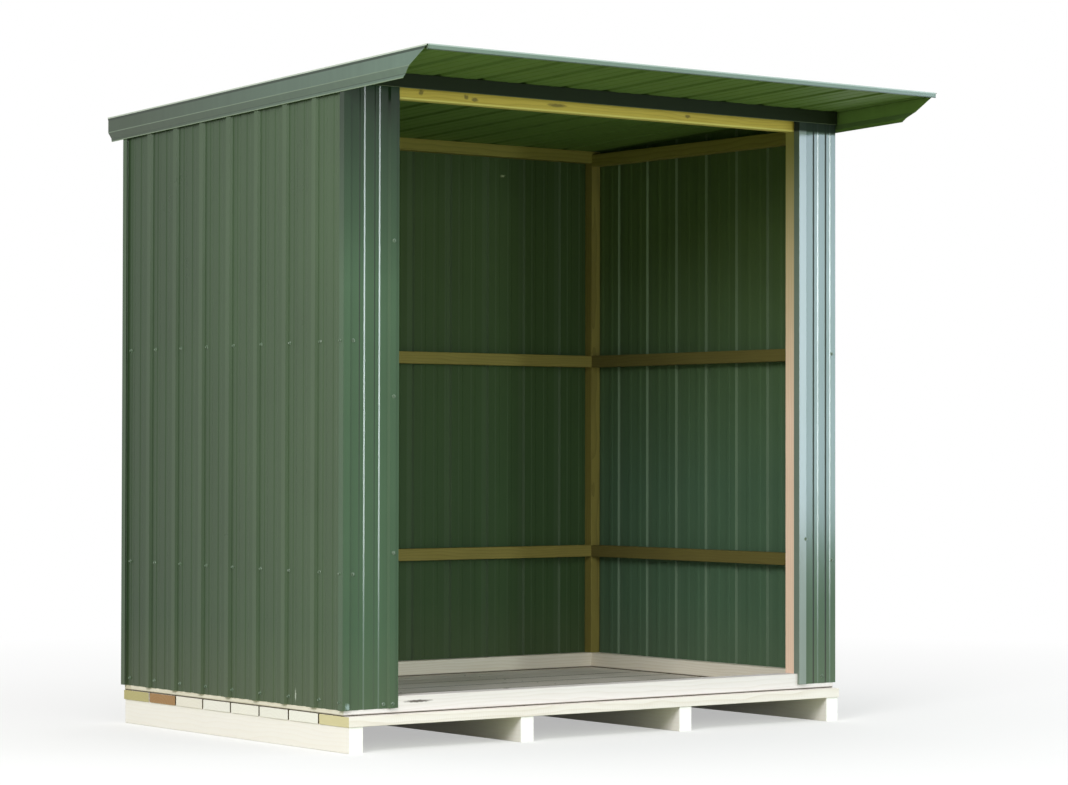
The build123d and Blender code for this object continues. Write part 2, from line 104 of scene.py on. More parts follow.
def pine(
    name,
    along,
    pith,
    pale,
    late,
    knot="#6E5A30",
    knots=(),
    end=None,
    tint=None,
    sides=None,
    sawn=0.0,
):
    """Pine cut along one axis: growth rings round a pith, knots, fibres and, if sawn, tooth marks.

    pith is where the heart lies on the two axes across the length, in metres. knots holds
    (centre, half sizes) of the knots that have a known place. tint is (from height, to height,
    tone), sides is the darker tone of the faces inside the floor's gaps and sawn is how deep the
    tooth marks are. Rings are drawn 11 mm apart, about twice the real spacing, so that they show.
    """
    material, tree, shader, place = new_finish(name)
    split = add_node(tree, "ShaderNodeSeparateXYZ", {0: place}).outputs
    order = {"X": (0, 1, 2), "Y": (1, 0, 2), "Z": (2, 0, 1)}[along]
    length, one, two = (split[i] for i in order)
    one = add_node(tree, "ShaderNodeMath", {0: one, 1: pith[0]}, operation="SUBTRACT").outputs[0]
    two = add_node(tree, "ShaderNodeMath", {0: two, 1: pith[1]}, operation="SUBTRACT").outputs[0]
    grain = add_node(tree, "ShaderNodeCombineXYZ", {0: length, 1: one, 2: two}).outputs[0]

    # The stem wanders by up to a centimetre over half a metre
    slow = add_node(
        tree, "ShaderNodeVectorMath", {0: grain, 1: (2.2, 9.0, 9.0)}, operation="MULTIPLY"
    ).outputs[0]
    wander = add_node(
        tree, "ShaderNodeTexNoise", {"Vector": slow, "Scale": 1.0, "Detail": 2.0}
    ).outputs["Fac"]
    across = add_node(tree, "ShaderNodeCombineXYZ", {0: 0.0, 1: one, 2: two}).outputs[0]
    radius = add_node(tree, "ShaderNodeVectorMath", {0: across}, operation="LENGTH").outputs[1]
    bent = add_node(
        tree, "ShaderNodeMath", {0: wander, 1: STEM_WANDER, 2: radius}, operation="MULTIPLY_ADD"
    ).outputs[0]

    # Scattered knots, dark for 17 mm and faded out at 36 mm, which push the rings aside
    spread = add_node(
        tree, "ShaderNodeTexVoronoi", {"Vector": grain, "Scale": 4.2, "Randomness": 1.0}
    ).outputs["Distance"]
    mask = add_node(
        tree, "ShaderNodeMapRange", {0: spread, 1: 0.075, 2: 0.035, 3: 0.0, 4: 1.0}
    ).outputs[0]
    if knots:
        # A knot's outline is ragged
        ragged = add_node(
            tree, "ShaderNodeTexNoise", {"Vector": place, "Scale": 85.0, "Detail": 2.0}
        ).outputs["Color"]
        ragged = add_node(
            tree, "ShaderNodeVectorMath", {0: ragged, 1: (0.5, 0.5, 0.5)}, operation="SUBTRACT"
        ).outputs[0]
        ragged = add_node(
            tree, "ShaderNodeVectorMath", {0: ragged, 1: (0.02, 0.02, 0.005)}, operation="MULTIPLY"
        ).outputs[0]
        rough_place = add_node(
            tree, "ShaderNodeVectorMath", {0: place, 1: ragged}, operation="ADD"
        ).outputs[0]
    for centre, half in knots:
        away = from_spot(tree, rough_place, centre, half)
        placed = add_node(
            tree, "ShaderNodeMapRange", {0: away, 1: 1.3, 2: 0.6, 3: 0.0, 4: 0.85}
        ).outputs[0]
        mask = add_node(tree, "ShaderNodeMath", {0: mask, 1: placed}, operation="MAXIMUM").outputs[0]
    pushed = add_node(
        tree, "ShaderNodeMath", {0: mask, 1: KNOT_PUSH, 2: bent}, operation="MULTIPLY_ADD"
    ).outputs[0]
    count = add_node(
        tree, "ShaderNodeMath", {0: pushed, 1: RING_STEP}, operation="DIVIDE"
    ).outputs[0]
    # Each ring darkens towards its outer side, where the late wood lies
    phase = add_node(tree, "ShaderNodeMath", {0: count}, operation="FRACT").outputs[0]
    ring = add_node(tree, "ShaderNodeMath", {0: phase, 1: 2.6}, operation="POWER").outputs[0]

    # Fibres 2 mm wide, coarser than real ones so that they show, and blotches a palm across
    fine = add_node(
        tree, "ShaderNodeVectorMath", {0: grain, 1: (14.0, 420.0, 420.0)}, operation="MULTIPLY"
    ).outputs[0]
    fibre = add_node(
        tree, "ShaderNodeTexNoise", {"Vector": fine, "Scale": 1.0, "Detail": 3.0}
    ).outputs["Fac"]
    broad = add_node(
        tree, "ShaderNodeVectorMath", {0: grain, 1: (3.5, 14.0, 14.0)}, operation="MULTIPLY"
    ).outputs[0]
    blotch = add_node(
        tree, "ShaderNodeTexNoise", {"Vector": broad, "Scale": 1.0, "Detail": 4.0}
    ).outputs["Fac"]
    wood = add_node(
        tree, "ShaderNodeMath", {0: ring, 1: 0.42}, operation="MULTIPLY"
    ).outputs[0]
    wood = add_node(
        tree, "ShaderNodeMath", {0: fibre, 1: 0.28, 2: wood}, operation="MULTIPLY_ADD"
    ).outputs[0]
    wood = add_node(
        tree, "ShaderNodeMath", {0: blotch, 1: 0.45, 2: wood}, operation="MULTIPLY_ADD"
    ).outputs[0]
    wood = add_node(
        tree, "ShaderNodeMath", {0: wood, 1: 0.28}, operation="SUBTRACT", use_clamp=True
    ).outputs[0]
    colour = add_node(
        tree,
        "ShaderNodeMix",
        {0: wood, 6: linear(pale), 7: linear(late)},
        data_type="RGBA",
    ).outputs[2]

    # Sawn ends drink in dirt and look a tone darker or greener than the faces
    facing = add_node(tree, "ShaderNodeNewGeometry").outputs["Normal"]
    if end:
        axis = {"X": (1, 0, 0), "Y": (0, 1, 0), "Z": (0, 0, 1)}[along]
        on_end = looks_along(tree, facing, axis, 0.9)
        end_tone = add_node(
            tree,
            "ShaderNodeMix",
            {0: ring, 6: linear(end), 7: linear(late)},
            data_type="RGBA",
        ).outputs[2]
        soft_end = add_node(
            tree, "ShaderNodeMix", {0: 0.12, 6: linear(end), 7: end_tone}, data_type="RGBA"
        ).outputs[2]
        colour = add_node(
            tree, "ShaderNodeMix", {0: on_end, 6: colour, 7: soft_end}, data_type="RGBA"
        ).outputs[2]
    if sides:
        # The faces inside the gaps between boards are painted darker
        in_gap = looks_along(tree, facing, (0, 1, 0), 0.5)
        colour = add_node(
            tree, "ShaderNodeMix", {0: in_gap, 6: colour, 7: linear(sides)}, data_type="RGBA"
        ).outputs[2]
    if tint:
        low, high, tone = tint
        height = add_node(
            tree, "ShaderNodeMapRange", {0: split[2], 1: low, 2: high, 3: 0.0, 4: 1.0}
        ).outputs[0]
        colour = add_node(
            tree, "ShaderNodeMix", {0: height, 6: colour, 7: linear(tone)}, data_type="RGBA"
        ).outputs[2]
    colour = add_node(
        tree, "ShaderNodeMix", {0: mask, 6: colour, 7: linear(knot)}, data_type="RGBA"
    ).outputs[2]
    tree.links.new(colour, shader.inputs["Base Color"])

    rough = add_node(
        tree, "ShaderNodeMapRange", {0: fibre, 1: 0.3, 2: 0.7, 3: 0.66, 4: 0.84}
    ).outputs[0]
    tree.links.new(rough, shader.inputs["Roughness"])
    relief = add_node(
        tree, "ShaderNodeMath", {0: ring, 1: 0.35, 2: fibre}, operation="MULTIPLY_ADD"
    ).outputs[0]
    if sawn:
        # Tooth marks of a bandsaw, 8 mm apart along the length
        teeth = add_node(
            tree,
            "ShaderNodeTexWave",
            {"Vector": grain, "Scale": 40.0, "Distortion": 1.5, "Detail": 1.0},
            wave_type="BANDS",
            bands_direction="X",
        ).outputs["Fac"]
        relief = add_node(
            tree, "ShaderNodeMath", {0: teeth, 1: sawn, 2: relief}, operation="MULTIPLY_ADD"
        ).outputs[0]
    bump = add_node(
        tree, "ShaderNodeBump", {"Strength": 0.45, "Distance": 0.0006, "Height": relief}
    ).outputs[0]
    tree.links.new(bump, shader.inputs["Normal"])
    shader.inputs["Specular IOR Level"].default_value = 0.35
    return material


def dress(name, material):
    """Gives a piece of the frame its finish."""
    slots = nodes[name].data.materials
    slots.clear()
    slots.append(material)


# Every stick's heart lies in another place, so that no two show the same rings
for i in range(BEARER_COUNT):
    low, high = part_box(f"bearer_{i + 1}")
    dress(
        f"bearer_{i + 1}",
        pine(
            f"weathered sawn pine bearer {i + 1}",
            "Y",
            ((low.x + high.x) / 2 + 0.05, -0.04 - 0.01 * i),
            # Painted near white, for the bright sun on them
            "#FFFAF7",
            "#F9F1EA",
            end="#FFFCFA",
            sawn=0.6,
        ),
    )

# Floor boards
# Eight sawn pine boards nailed across the bearers with open gaps between them. Their ends at the
# left-hand wall vary: the front one is drab, the two at the rear are orange and yellow-green.
END_TONES = (
    "#DDD3A6",
    "#FBF9F2",
    "#F8F5EE",
    "#FAF6EE",
    "#F9F6F0",
    "#F6F0E6",
    "#A98258",
    "#C0B682",
)
BOARD_COUNT = len(END_TONES)
for i, tone in enumerate(END_TONES):
    low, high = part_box(f"floor_board_{i + 1}")
    dress(
        f"floor_board_{i + 1}",
        pine(
            f"sawn pine floor board {i + 1}",
            "X",
            ((low.y + high.y) / 2 + 0.03 * (-1) ** i, 0.05 - 0.012 * (i % 3)),
            "#F1EAE3",
            "#D8CCBA",
            end=tone,
            sides=None if i in (0, BOARD_COUNT - 1) else "#5A4F38",
            sawn=0.5,
        ),
    )

# Bottom plates
# Planed pine laid on the boards under the walls, the outer lower edge machined round. Weather has
# silvered the outside, and a dark line of painted shade runs along their foot, where they meet the
# boards. The front one has a long dark knot at the left.
# A dark line along the plates' foot: painted shade in the joint with the boards
PLATE_FOOT_SHADE = (0.1318, 0.1272, "#4A3F28")
plate_low, plate_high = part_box("bottom_plate_front")
dress(
    "bottom_plate_front",
    pine(
        "planed pine front plate",
        "X",
        (plate_low.y + 0.05, 0.10),
        "#E5E0DD",
        "#D3CBC2",
        knot="#2E2008",
        knots=(((-0.82, plate_low.y, 0.1645), (0.055, 0.02, 0.0042)),),
        end="#E9E3D4",
        tint=PLATE_FOOT_SHADE,
    ),
)
for side, along in (("rear", "X"), ("left", "Y"), ("right", "Y")):
    low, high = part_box(f"bottom_plate_{side}")
    middle = (low + high) / 2
    dress(
        f"bottom_plate_{side}",
        pine(
            f"planed pine {side} plate",
            along,
            (middle.y - 0.03 if along == "X" else middle.x - 0.03, 0.09),
            "#EFE9DB",
            "#D8CCB2",
            end="#DDD3BC",
            tint=PLATE_FOOT_SHADE,
        ),
    )

# Studs: corner posts and jambs
# Planed pine 45 mm thick, nailed upright on the plates. The posts indoors are painted a dark honey
# colour, for the shade and green light inside. The jambs are painted pinkish low down, where the
# light reaches them, and olive towards the eaves, for the shade and green light under the roof.
for name in ("post_front_left", "post_front_right", "post_rear_left", "post_rear_right"):
    low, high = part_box(name)
    dress(
        name,
        pine(
            f"planed pine {name.replace('_', ' ')}",
            "Z",
            (low.x + 0.01, low.y + 0.055),
            # Painted dark for the shade and green light indoors
            "#8C8240",
            "#635726",
            end="#B5A676",
        ),
    )
for name in ("jamb_left", "jamb_right"):
    low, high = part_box(name)
    dress(
        name,
        pine(
            f"planed pine {name.replace('_', ' ')}",
            "Z",
            (low.x + 0.015, high.y + 0.02),
            "#FCDDC6",
            "#E6BEA2",
            end="#D9C9A4",
            # Painted olive towards the eaves, for the shade and green light under the roof
            tint=(1.15, 2.35, "#9C9A48"),
        ),
    )

# Header and top plates
# Planed pine on edge over the opening and level round the walls. It is painted olive-yellow for the
# eaves' shade and the green light under the roof, and the header has a highlight painted along its
# lower edge.
low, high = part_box("front_header")
dress(
    "front_header",
    pine(
        "planed pine header",
        "X",
        (low.y - 0.02, 2.245),
        "#C2AC48",
        "#99842F",
        knot="#6B5F28",
        knots=(
            ((-0.795, low.y, 2.286), (0.010, 0.02, 0.010)),
            ((-0.600, low.y, 2.282), (0.009, 0.02, 0.008)),
            ((-0.5615, low.y, 2.275), (0.012, 0.02, 0.008)),
            ((-0.195, low.y, 2.280), (0.040, 0.02, 0.0065)),
            ((0.42, low.y, 2.280), (0.012, 0.02, 0.006)),
        ),
        # A highlight painted along the header's lower edge
        tint=(2.2645, 2.2605, "#D2C56C"),
    ),
)
for name, along in (("top_plate_rear", "X"), ("top_plate_left", "Y"), ("top_plate_right", "Y")):
    low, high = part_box(name)
    middle = (low + high) / 2
    dress(
        name,
        pine(
            f"planed pine {name.replace('_', ' ')}",
            along,
            (middle.y + 0.03 if along == "X" else middle.x + 0.03, low.z - 0.02),
            # Painted dark olive for the shade and green light indoors
            "#90883F",
            "#675F25",
        ),
    )

# Rails
# Planed pine between the posts at two heights, for the sheets to be screwed to, painted dark olive
# for the shade and green light indoors. The right-hand ones are painted a tone darker still,
# because the front panel shades them.
for side, along in (("rear", "X"), ("left", "Y"), ("right", "Y")):
    # Painted shade: a tone darker on the right, behind the front panel
    pale, late = ("#6B6330", "#5A5026") if side == "right" else ("#8F8442", "#6F6430")
    for level in ("lower", "mid"):
        low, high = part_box(f"rail_{side}_{level}")
        middle = (low + high) / 2
        dress(
            f"rail_{side}_{level}",
            pine(
                f"planed pine {side} rail {level}",
                along,
                (middle.y - 0.04 if along == "X" else middle.x - 0.04, low.z - 0.01),
                pale,
                late,
            ),
        )

# Wall sheets
# Roll-formed steel, zinc-coated and then coil-coated a deep green on the face, with a thinner
# duller coat on the reverse. Cut edges show bare zinc, and the wide pans ripple slightly.

# Grooves in the sheets lie on the timber, the pans stand 1.5 mm off it and the crests 10 mm
STEEL = 0.0006
PAN = 0.0015 + STEEL
CREST = 0.010 + STEEL
left_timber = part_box("post_rear_left")[0].x
right_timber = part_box("post_rear_right")[1].x
rear_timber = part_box("post_rear_left")[1].y
# How matt the reverse and the painted dark lines are, and the soft edge of the line along a fold
REVERSE_ROUGHNESS = 0.62
SHADE_LINE_ROUGHNESS = 0.85
FOLD_BLUR = 0.0008
# Heights between which the reverse turns damp, and the face gets splashed soil
DAMP_TOP = 1.9
DAMP_FOOT = 0.9
SOIL_TOP = 0.42
SOIL_FOOT = 0.12


def stripe(tree, distance, start, stop, soft, share):
    """How strongly a stripe shows between two distances, fading out inside both its edges."""
    off = add_node(
        tree, "ShaderNodeMath", {0: distance, 1: (start + stop) / 2}, operation="SUBTRACT"
    ).outputs[0]
    away = add_node(tree, "ShaderNodeMath", {0: off}, operation="ABSOLUTE").outputs[0]
    half = (stop - start) / 2
    return add_node(
        tree, "ShaderNodeMapRange", {0: away, 1: half, 2: half - soft, 3: 0.0, 4: share}
    ).outputs[0]


def coated_steel(
    name,
    outward,
    face="#3C5238",
    reverse="#44592F",
    rough=0.3,
    shine=0.25,
    cut=None,
    scuffs=(),
    bands=None,
    front_light=None,
    crest=None,
    bends=(0.08, 0.3),
    grooves=False,
    lip=None,
    eaves=None,
    damp=None,
    dark_lines=(),
):
    """Coil-coated sheet: the satin face where the surface turns outward, the matt reverse behind it.

    Lengths are in metres, and heights count from the ground.
    cut: the axis that bare cut edges look along, or None where every edge is folded.
    scuffs: (centre, half sizes, tone) of scuffed places.
    bands: a trim's top at Y = 0, its fall, and (from, to, tone) of its folds, measured down.
    bleach: (from Y, to Y, tone), where the face is painted paler towards the open front, for the
    brighter light there.
    crest: how far out the rib crests stand, where a faint highlight is painted.
    bends: how strongly a highlight is painted along the bends, on the face and on the reverse.
    grooves: whether a highlight is painted on one flank of each shallow groove and shade on the
    other.
    lip: (from X, to X, tone) of a strip painted pale, as the reflection that the lip shows.
    eaves: (from height, to height, share, roughness) of the shade painted near the top, under the
    roof.
    damp: the tone that the reverse turns to lower down.
    dirt: (from X, to X) of matt lines painted dark, as shade along the flanks of grooves.
    """
    material, tree, shader, place = new_finish(name)
    facing = add_node(tree, "ShaderNodeNewGeometry").outputs["Normal"]
    turned = add_node(
        tree, "ShaderNodeVectorMath", {0: facing, 1: outward}, operation="DOT_PRODUCT"
    ).outputs[1]
    # The flanks of the ribs and the thin edges carry the face's coat as well
    on_face = add_node(
        tree, "ShaderNodeMath", {0: turned, 1: -0.15}, operation="GREATER_THAN"
    ).outputs[0]
    split = add_node(tree, "ShaderNodeSeparateXYZ", {0: place}).outputs
    outer = linear(face)
    if front_light:
        # The face is painted paler towards the front, where more light falls
        shaded, sunned, front_tone = front_light
        sun = add_node(
            tree, "ShaderNodeMapRange", {0: split[1], 1: shaded, 2: sunned, 3: 0.0, 4: 1.0}
        ).outputs[0]
        outer = add_node(
            tree, "ShaderNodeMix", {0: sun, 6: linear(face), 7: linear(front_tone)}, data_type="RGBA"
        ).outputs[2]
    inner = linear(reverse)
    if damp:
        wet = add_node(
            tree, "ShaderNodeMapRange", {0: split[2], 1: DAMP_TOP, 2: DAMP_FOOT, 3: 0.0, 4: 1.0}
        ).outputs[0]
        inner = add_node(
            tree, "ShaderNodeMix", {0: wet, 6: inner, 7: linear(damp)}, data_type="RGBA"
        ).outputs[2]
    colour = add_node(
        tree, "ShaderNodeMix", {0: on_face, 6: inner, 7: outer}, data_type="RGBA"
    ).outputs[2]
    # A highlight is painted along the bends, where they catch the light, and faintly on the crests
    flat = add_node(tree, "ShaderNodeMath", {0: turned}, operation="ABSOLUTE").outputs[0]
    share = add_node(tree, "ShaderNodeMix", {0: on_face, 2: bends[1], 3: bends[0]}).outputs[0]
    painted_highlight = add_node(
        tree, "ShaderNodeMapRange", {0: flat, 1: 0.9, 2: 0.6, 3: 0.0, 4: share}
    ).outputs[0]
    if crest:
        stand = add_node(
            tree, "ShaderNodeVectorMath", {0: place, 1: outward}, operation="DOT_PRODUCT"
        ).outputs[1]
        proud = add_node(
            tree,
            "ShaderNodeMapRange",
            {0: stand, 1: crest - 0.0022, 2: crest - 0.0002, 3: 0.0, 4: 0.07},
        ).outputs[0]
        painted_highlight = add_node(
            tree, "ShaderNodeMath", {0: painted_highlight, 1: proud}, operation="MAXIMUM"
        ).outputs[0]
    colour = add_node(
        tree, "ShaderNodeMix", {0: painted_highlight, 6: colour, 7: linear("#8FA08A")}, data_type="RGBA"
    ).outputs[2]
    if grooves:
        sideways = add_node(tree, "ShaderNodeSeparateXYZ", {0: facing}).outputs[0]
        # One flank of each groove is painted pale as a highlight and the other dark as shade, both
        # fainter low down
        flank_light_share = add_node(
            tree, "ShaderNodeMapRange", {0: split[2], 1: 0.3, 2: 1.6, 3: 0.15, 4: 0.85}
        ).outputs[0]
        for low, high, mark in ((-0.45, -0.2, "#A6B3B6"), (0.2, 0.45, "#10180F")):
            past = add_node(
                tree, "ShaderNodeMath", {0: sideways, 1: low}, operation="GREATER_THAN"
            ).outputs[0]
            short = add_node(
                tree, "ShaderNodeMath", {0: sideways, 1: high}, operation="LESS_THAN"
            ).outputs[0]
            flank = add_node(
                tree, "ShaderNodeMath", {0: past, 1: short}, operation="MULTIPLY"
            ).outputs[0]
            flank = add_node(
                tree, "ShaderNodeMath", {0: flank, 1: flank_light_share}, operation="MULTIPLY"
            ).outputs[0]
            colour = add_node(
                tree, "ShaderNodeMix", {0: flank, 6: colour, 7: linear(mark)}, data_type="RGBA"
            ).outputs[2]
    if lip:
        start, stop, mark = lip
        # A pale strip painted on the lip, as the reflection it shows
        wear_and_sheen = stripe(tree, split[0], start, stop, 0.003, 0.8)
        wear_and_sheen = add_node(
            tree, "ShaderNodeMath", {0: wear_and_sheen, 1: on_face}, operation="MULTIPLY"
        ).outputs[0]
        colour = add_node(
            tree, "ShaderNodeMix", {0: wear_and_sheen, 6: colour, 7: linear(mark)}, data_type="RGBA"
        ).outputs[2]
    if dark_lines:
        # Dark lines painted as shade along the flanks of the grooves
        lines = [stripe(tree, split[0], start, stop, 0.0015, 0.9) for start, stop in dark_lines]
        shade_line = lines[0]
        for line in lines[1:]:
            shade_line = add_node(
                tree, "ShaderNodeMath", {0: shade_line, 1: line}, operation="MAXIMUM"
            ).outputs[0]
        colour = add_node(
            tree, "ShaderNodeMix", {0: shade_line, 6: colour, 7: linear("#151E14")}, data_type="RGBA"
        ).outputs[2]
    if eaves:
        # Painted shade near the top, under the roof's overhang
        low, high, most, dull = eaves
        eaves_shade = add_node(
            tree, "ShaderNodeMapRange", {0: split[2], 1: low, 2: high, 3: 0.0, 4: most}
        ).outputs[0]
        colour = add_node(
            tree, "ShaderNodeMix", {0: eaves_shade, 6: colour, 7: linear("#0A1E0F")}, data_type="RGBA"
        ).outputs[2]

    # Chalking comes in clouds a forearm wide, and rain draws it down in streaks
    cloud = add_node(
        tree, "ShaderNodeTexNoise", {"Vector": place, "Scale": 2.6, "Detail": 5.0}
    ).outputs["Fac"]
    drawn = add_node(
        tree, "ShaderNodeVectorMath", {0: place, 1: (30.0, 30.0, 0.8)}, operation="MULTIPLY"
    ).outputs[0]
    streak = add_node(
        tree, "ShaderNodeTexNoise", {"Vector": drawn, "Scale": 1.0, "Detail": 3.0}
    ).outputs["Fac"]
    both = add_node(tree, "ShaderNodeMath", {0: cloud, 1: streak}, operation="ADD").outputs[0]
    tone = add_node(
        tree, "ShaderNodeMapRange", {0: both, 1: 0.6, 2: 1.4, 3: 0.9, 4: 1.1}
    ).outputs[0]
    colour = add_node(
        tree, "ShaderNodeVectorMath", {0: colour, "Scale": tone}, operation="SCALE"
    ).outputs[0]
    # Splashed soil fades out 0.3 m over the floor
    soil = add_node(
        tree, "ShaderNodeMapRange", {0: split[2], 1: SOIL_TOP, 2: SOIL_FOOT, 3: 0.0, 4: 0.14}
    ).outputs[0]
    colour = add_node(
        tree, "ShaderNodeMix", {0: soil, 6: colour, 7: linear("#7C7A5E")}, data_type="RGBA"
    ).outputs[2]
    if cut:
        bare = looks_along(tree, facing, cut, 0.95)
        colour = add_node(
            tree, "ShaderNodeMix", {0: bare, 6: colour, 7: linear("#A9AEA9")}, data_type="RGBA"
        ).outputs[2]
    if bands:
        # Stripes are painted along a trim's folds: pale ones as highlights, dark ones as shade
        top, fall, folds = bands
        slope = add_node(
            tree, "ShaderNodeVectorMath", {0: place, 1: (0, fall, 1)}, operation="DOT_PRODUCT"
        ).outputs[1]
        drop = add_node(
            tree, "ShaderNodeMath", {0: top, 1: slope}, operation="SUBTRACT"
        ).outputs[0]
        upright = add_node(
            tree, "ShaderNodeMath", {0: turned, 1: 0.6}, operation="GREATER_THAN"
        ).outputs[0]
        for start, stop, mark in folds:
            band = stripe(tree, drop, start - FOLD_BLUR, stop + FOLD_BLUR, FOLD_BLUR, 0.8)
            band = add_node(
                tree, "ShaderNodeMath", {0: band, 1: upright}, operation="MULTIPLY"
            ).outputs[0]
            colour = add_node(
                tree, "ShaderNodeMix", {0: band, 6: colour, 7: linear(mark)}, data_type="RGBA"
            ).outputs[2]
    if scuffs:
        # A scuff breaks up at its edges into scratches a few millimetres long
        broken = add_node(
            tree, "ShaderNodeTexNoise", {"Vector": place, "Scale": 140.0, "Detail": 3.0}
        ).outputs["Fac"]
    for centre, half, mark in scuffs:
        away = from_spot(tree, place, centre, half)
        edge = add_node(
            tree, "ShaderNodeMath", {0: broken, 1: 1.6, 2: away}, operation="MULTIPLY_ADD"
        ).outputs[0]
        wear_and_sheen = add_node(
            tree, "ShaderNodeMapRange", {0: edge, 1: 1.9, 2: 1.2, 3: 0.0, 4: 0.85}
        ).outputs[0]
        colour = add_node(
            tree, "ShaderNodeMix", {0: wear_and_sheen, 6: colour, 7: linear(mark)}, data_type="RGBA"
        ).outputs[2]
    tree.links.new(colour, shader.inputs["Base Color"])
    gloss = add_node(
        tree, "ShaderNodeMapRange", {0: cloud, 1: 0.3, 2: 0.7, 3: rough - 0.03, 4: rough + 0.05}
    ).outputs[0]
    gloss = add_node(
        tree, "ShaderNodeMix", {0: on_face, 2: REVERSE_ROUGHNESS, 3: gloss}
    ).outputs[0]
    if dark_lines:
        gloss = add_node(
            tree, "ShaderNodeMix", {0: shade_line, 2: gloss, 3: SHADE_LINE_ROUGHNESS}
        ).outputs[0]
    if eaves:
        gloss = add_node(tree, "ShaderNodeMix", {0: eaves_shade, 2: gloss, 3: dull}).outputs[0]
    tree.links.new(gloss, shader.inputs["Roughness"])
    # The rolls leave the pans rippled by a few hundredths of a millimetre, in long low waves
    long_waves = add_node(
        tree, "ShaderNodeVectorMath", {0: place, 1: (9.0, 9.0, 1.3)}, operation="MULTIPLY"
    ).outputs[0]
    ripple = add_node(
        tree, "ShaderNodeTexNoise", {"Vector": long_waves, "Scale": 1.0, "Detail": 1.0}
    ).outputs["Fac"]
    bump = add_node(
        tree, "ShaderNodeBump", {"Strength": 0.5, "Distance": 0.0008, "Height": ripple}
    ).outputs[0]
    tree.links.new(bump, shader.inputs["Normal"])
    shader.inputs["Specular IOR Level"].default_value = shine
    return material


dress(
    "left_wall_sheets",
    coated_steel(
        "coil-coated steel left wall",
        (-1, 0, 0),
        # Painted a darker green than the other walls: the same steel, shaded by how the light falls
        # here
        face="#34482F",
        # Painted paler towards the front, where more light falls
        front_light=(0.95, -0.5, "#45593F"),
        crest=CREST - left_timber,
        bends=(0.04, 0.3),
        cut=(0, 0, 1),
        scuffs=(((-1.135, -0.2244, 0.178), (0.02, 0.006, 0.024), "#C9D1C4"),),
    ),
)
dress(
    "right_wall_sheets",
    coated_steel(
        "coil-coated steel right wall",
        (1, 0, 0),
        reverse="#52673A",
        damp="#4C6850",
        crest=CREST + right_timber,
        bends=(0.08, 0.22),
        cut=(0, 0, 1),
    ),
)
dress(
    "rear_wall_sheets",
    coated_steel(
        "coil-coated steel rear wall",
        (0, 1, 0),
        reverse="#3B4F28",
        damp="#3A5230",
        crest=CREST + rear_timber,
        bends=(0.08, 0.2),
        cut=(0, 0, 1),
        scuffs=(((0.6513, 0.966, 2.1716), (0.012, 0.02, 0.006), "#A9B38C"),),
    ),
)

# Front panels
# Narrow lengths of the same sheet either side of the opening. The face folds round the jamb in a
# lip, and round the corner in a leg that laps the side wall. Shade under the eaves is painted on
# near their top.

# What differs between the two: the left one is scuffed at its foot, and the right one has a pale
# strip painted on its lip for the reflection it shows, and two dark lines of painted shade
PANEL_MARKS = {
    "left": {
        "shine": 0.32,
        "scuffs": (((-1.118, -0.534, 0.158), (0.016, 0.012, 0.012), "#93A8A4"),),
        "eaves": (1.6, 2.25, 0.8, 0.14),
    },
    "right": {
        "shine": 0.5,
        "lip": (0.945, 0.984, "#8D9994"),
        "eaves": (2.250, 2.262, 0.96, 1.0),
        "dark_lines": ((1.0225, 1.0325), (1.085, 1.095)),
    },
}
for side, marks in PANEL_MARKS.items():
    dress(
        f"front_panel_{side}",
        coated_steel(
            f"coil-coated steel {side} front panel",
            (0, -1, 0),
            # Painted a paler green than the walls: the same steel, where more light falls
            face="#3F5A40",
            rough=0.14,
            cut=(0, 0, 1),
            grooves=True,
            **marks,
        ),
    )

# Roof sheets
# The same sheet laid front to rear with its ribs up. Its reverse shows as the ceiling and under the
# front overhang, where it is painted with an olive cast for the green light that reaches it there.
dress(
    "roof_sheets",
    coated_steel(
        "coil-coated steel roof", (0, 0, 1), reverse="#5C7836", bends=(0.08, 0.04), cut=(0, 1, 0)
    ),
)

# Fascia, barges and edge flashings
# Flat coil-coated steel folded on a brake: a fascia over the panels' tops, barges down both roof
# edges with a crease and a hemmed foot, and small angles over the ends of the roof sheets.
ROOF_FALL = 49 / 1510
fascia_low, fascia_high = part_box("fascia")
# The fascia's hemmed foot catches a little light
hem_start = fascia_high.z - fascia_low.z - 0.0014
FASCIA_FOLDS = ((hem_start, hem_start + 0.003, "#5C6650"),)
dress(
    "fascia",
    coated_steel(
        "folded steel fascia",
        (0, -1, 0),
        # Painted near black, as the shade under the roof's overhang
        face="#1B2412",
        rough=0.6,
        shine=0.08,
        bands=(fascia_high.z, 0.0, FASCIA_FOLDS),
    ),
)
barge_low, barge_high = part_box("barge_left")
barge_top = barge_high.z + ROOF_FALL * barge_low.y
# A highlight is painted along the barge's top edge, over a strip of painted shade; lower down
# highlights are painted on the crease and the hem, with a dark line of painted shade between them
BARGE_FOLDS = (
    (-0.001, 0.0042, "#D0DAD0"),
    (0.0056, 0.0125, "#253328"),
    (0.0562, 0.0582, "#788977"),
    (0.079, 0.0805, "#344234"),
    (0.0885, 0.095, "#83937F"),
)
# A trim's outward direction leans up a little, so that its top fold counts as face
for side, way in (("left", -1), ("right", 1)):
    dress(
        f"barge_{side}",
        coated_steel(
            f"folded steel {side} barge",
            (way, 0, 0.3),
            face="#384836",
            reverse="#6F8F48",
            shine=0.4,
            # Painted paler towards the front, where more light falls
            front_light=(0.9, -1.0, "#60756A"),
            bands=(barge_top, ROOF_FALL, BARGE_FOLDS),
        ),
    )
front_low, front_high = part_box("roof_front_flashing")
front_top = front_high.z + ROOF_FALL * front_low.y
